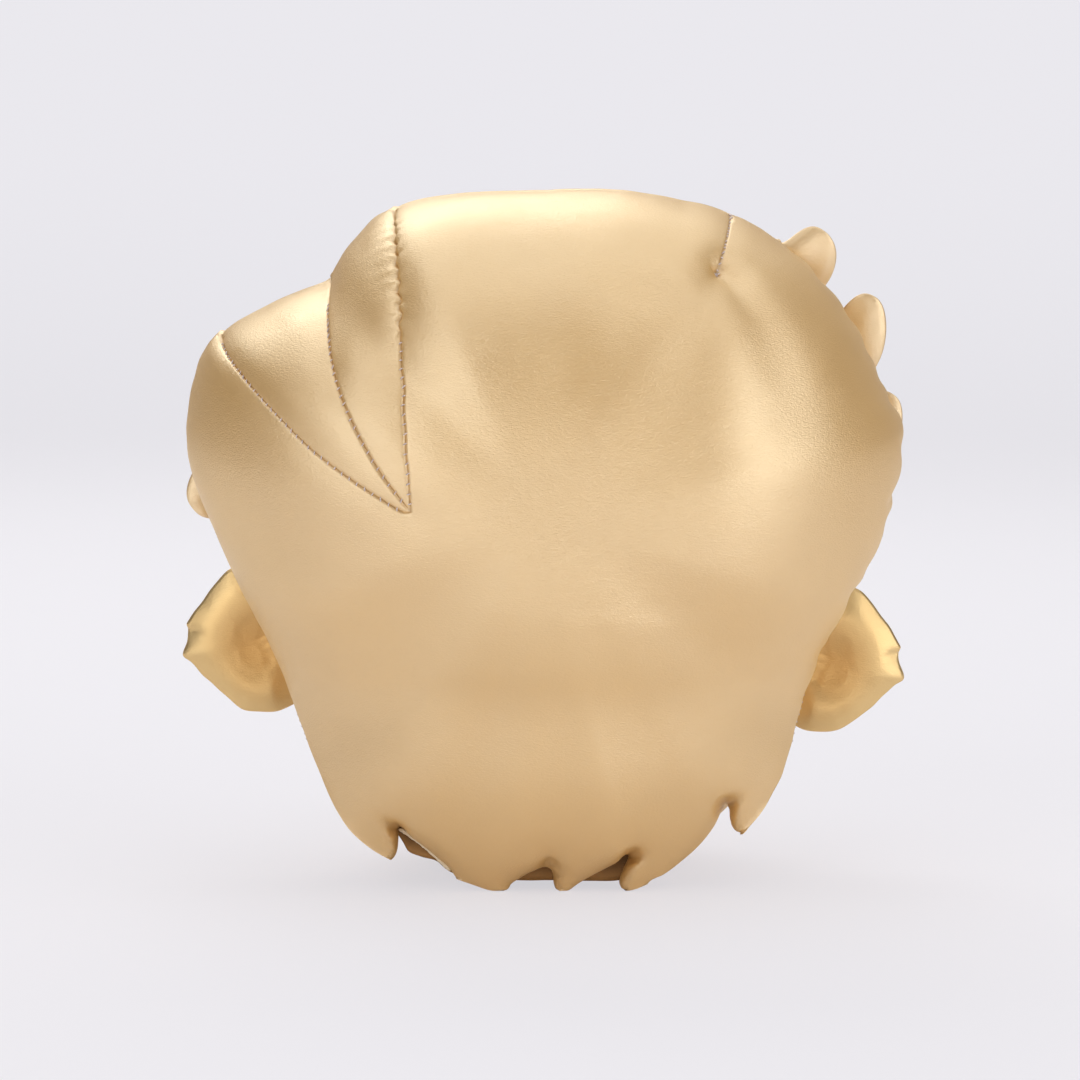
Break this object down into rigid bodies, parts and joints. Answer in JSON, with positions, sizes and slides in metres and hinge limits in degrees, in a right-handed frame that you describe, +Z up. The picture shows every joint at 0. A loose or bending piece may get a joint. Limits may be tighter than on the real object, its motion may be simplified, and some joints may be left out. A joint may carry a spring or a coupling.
{
  "type": "stuffed doll head",
  "caption": "Soft stuffed head of gold faux leather with swept hair locks, a toothed hem at the nape, folding ears and a calm face, standing on a small flat base.",
  "frame": {"origin": "on the underside of the base panel, straight below the middle of the head", "axes": "+Z up; the face looks along -Y and the back of the hair along +Y; +X is the head's own left"},
  "size_m": [0.233, 0.1802, 0.2182],
  "materials": {
    "gold_leather": "smooth metallic gold faux leather, satin, with fine wrinkles",
    "lock_leather": "smooth metallic gold faux leather, satin, a little deeper in tone",
    "fibre": "loose off-white polyester fibre",
    "pellet_cloth": "plain woven cotton",
    "bronze_thread": "dense satin stitching in dark bronze thread"
  },
  "bodies": {
    "head": {"back_hair_panel": "gold_leather", "front_hair_panel": "gold_leather", "crown_lock_upper": "gold_leather", "crown_lock_lower": "gold_leather", "face_panel": "gold_leather", "head_back_panel": "gold_leather", "base_panel": "gold_leather", "fringe_lock_upper_back_panel": "lock_leather", "fringe_lock_upper_front_panel": "lock_leather", "fringe_lock_middle_back_panel": "lock_leather", "fringe_lock_middle_front_panel": "lock_leather", "fringe_lock_lower_back_panel": "lock_leather", "fringe_lock_lower_front_panel": "lock_leather", "fringe_lock_left_back_panel": "lock_leather", "fringe_lock_left_front_panel": "lock_leather", "nose_pad": "lock_leather", "hair_filling": "fibre", "head_filling": "fibre", "fringe_lock_upper_filling": "fibre", "fringe_lock_middle_filling": "fibre", "fringe_lock_lower_filling": "fibre", "fringe_lock_left_filling": "fibre", "pellet_pouch": "pellet_cloth", "left_eyelid_stitching": "bronze_thread", "left_brow_stitching": "bronze_thread", "right_eyelid_stitching": "bronze_thread", "right_brow_stitching": "bronze_thread", "mouth_stitching": "bronze_thread"},
    "left_ear": {"left_ear_back_panel": "lock_leather", "left_ear_front_panel": "lock_leather", "left_ear_filling": "fibre"},
    "right_ear": {"right_ear_back_panel": "lock_leather", "right_ear_front_panel": "lock_leather", "right_ear_filling": "fibre"}
  },
  "joints": [
    {"name": "left_ear_fold", "type": "hinge", "parent": "head", "child": "left_ear", "pos_m": [0.0838, -0.016, 0.072], "axis": [-0.1226, 0, -0.9925], "range_deg": [-25, 40], "stiffness_Nm_per_rad": 0.02},
    {"name": "right_ear_fold", "type": "hinge", "parent": "head", "child": "right_ear", "pos_m": [-0.083, -0.016, 0.066], "axis": [-0.1737, 0, 0.9848], "range_deg": [-25, 40], "stiffness_Nm_per_rad": 0.02}
  ]
}
